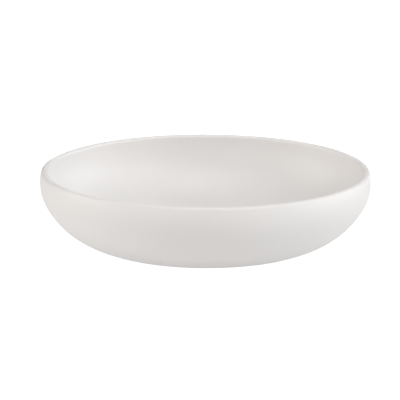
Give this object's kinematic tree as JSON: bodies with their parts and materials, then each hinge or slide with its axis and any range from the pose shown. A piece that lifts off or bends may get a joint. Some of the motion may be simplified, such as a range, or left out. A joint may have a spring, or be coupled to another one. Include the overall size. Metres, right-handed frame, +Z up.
{
  "type": "evaporating dish",
  "caption": "Shallow round porcelain lab dish with a flat base, curved side and rounded lip, glazed inside and out, with a bare underside.",
  "frame": {"origin": "centre of the base, on the plane that the dish stands on", "axes": "+Z up along the dish's axis of revolution, towards the open mouth; X and Y are interchangeable"},
  "size_m": [0.1, 0.1, 0.023],
  "materials": {
    "porcelain_body": "matte",
    "inside_glaze": "gloss",
    "outside_glaze": "gloss"
  },
  "bodies": {
    "root": {"porcelain_body": "porcelain_body", "inside_glaze": "inside_glaze", "outside_glaze": "outside_glaze"}
  },
  "joints": []
}
